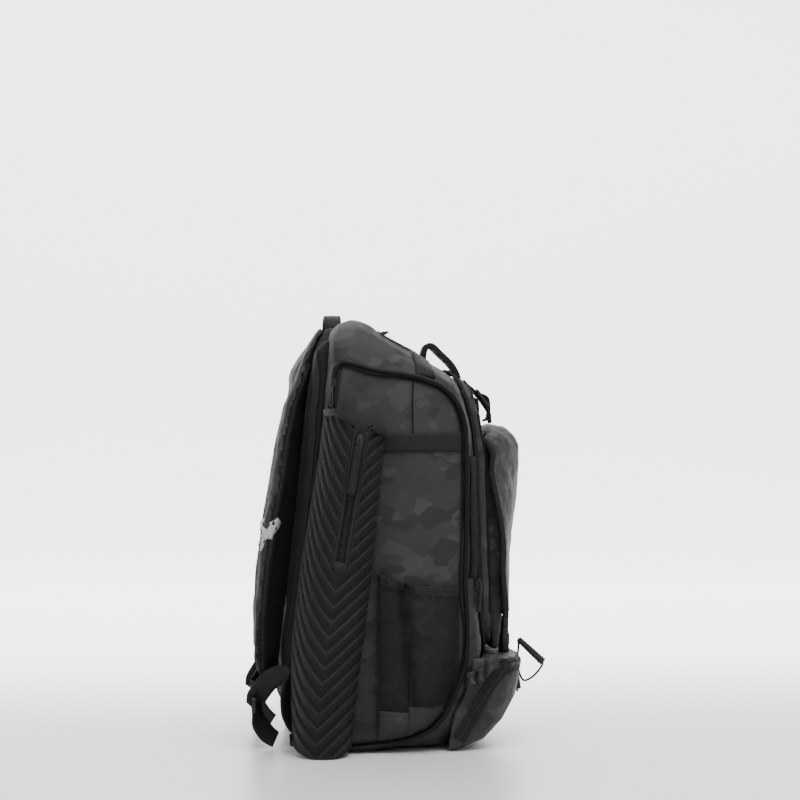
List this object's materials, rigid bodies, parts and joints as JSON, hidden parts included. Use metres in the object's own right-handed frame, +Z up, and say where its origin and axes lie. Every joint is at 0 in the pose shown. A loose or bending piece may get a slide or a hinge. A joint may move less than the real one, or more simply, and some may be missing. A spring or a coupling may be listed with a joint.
{
  "type": "baseball bat backpack",
  "caption": "Upright padded backpack with an open top, ribbed foam bat sleeves and mesh pockets on its sides, a boxed front flap, a lower zipped pocket and curved shoulder straps.",
  "frame": {"origin": "on the ground at the middle of the flat base of the bag", "axes": "+Z is up, the shoulder straps and back pad face +Y, the front pockets face -Y, and the wearer's left is -X"},
  "size_m": [0.4374, 0.3639, 0.5362],
  "materials": {
    "cloth": "coated polyester in tonal charcoal camouflage",
    "spacer_mesh": "padded spacer mesh",
    "net": "open knitted net",
    "foam": "moulded foam with chevron ribs, matt",
    "piping": "smooth covered cord, slightly glossy",
    "webbing": "woven webbing",
    "zip": "coil zip on woven tape",
    "hook_and_loop": "fuzzy loop tape",
    "plastic": "moulded acetal, satin",
    "rubber_pull": "matt rubber and cord",
    "reflective": "silver reflective tape"
  },
  "bodies": {
    "root": {"main_shell": "cloth", "top_lid": "cloth", "front_compartment": "cloth", "front_flap": "cloth", "front_pocket": "cloth", "lower_pocket": "cloth", "lower_ruffle_left": "cloth", "lower_ruffle_right": "cloth", "back_pad": "spacer_mesh", "shoulder_strap_left": "spacer_mesh", "shoulder_strap_right": "spacer_mesh", "mesh_pocket_left": "net", "mesh_pocket_right": "net", "sleeve_left": "foam", "sleeve_right": "foam", "piping_left": "piping", "piping_right": "piping", "grab_handle": "webbing", "haul_loop": "webbing", "pocket_binding_left": "webbing", "pocket_binding_right": "webbing", "side_band_left": "webbing", "side_band_right": "webbing", "mouth_tab_left": "webbing", "mouth_tab_right": "webbing", "flap_strap_left": "webbing", "flap_strap_right": "webbing", "buckle_strap_left": "webbing", "buckle_strap_right": "webbing", "strap_webbing_left": "webbing", "strap_webbing_right": "webbing", "strap_tail_left": "webbing", "strap_tail_right": "webbing", "mouth_zip": "zip", "front_zip": "zip", "lower_zip": "zip", "sleeve_zip_left": "zip", "sleeve_zip_right": "zip", "rear_zip_left": "zip", "rear_zip_right": "zip", "loop_strip_left": "hook_and_loop", "loop_strip_right": "hook_and_loop", "front_pull_left": "plastic", "front_pull_right": "plastic", "flap_lock_left": "plastic", "flap_lock_right": "plastic", "flap_buckle_left": "plastic", "flap_buckle_right": "plastic", "strap_lock_left": "plastic", "strap_lock_right": "plastic", "lower_pull_left": "rubber_pull", "lower_pull_right": "rubber_pull", "sleeve_pull_left": "rubber_pull", "sleeve_pull_right": "rubber_pull", "reflective_tab_left": "reflective", "reflective_tab_right": "reflective"}
  },
  "joints": []
}
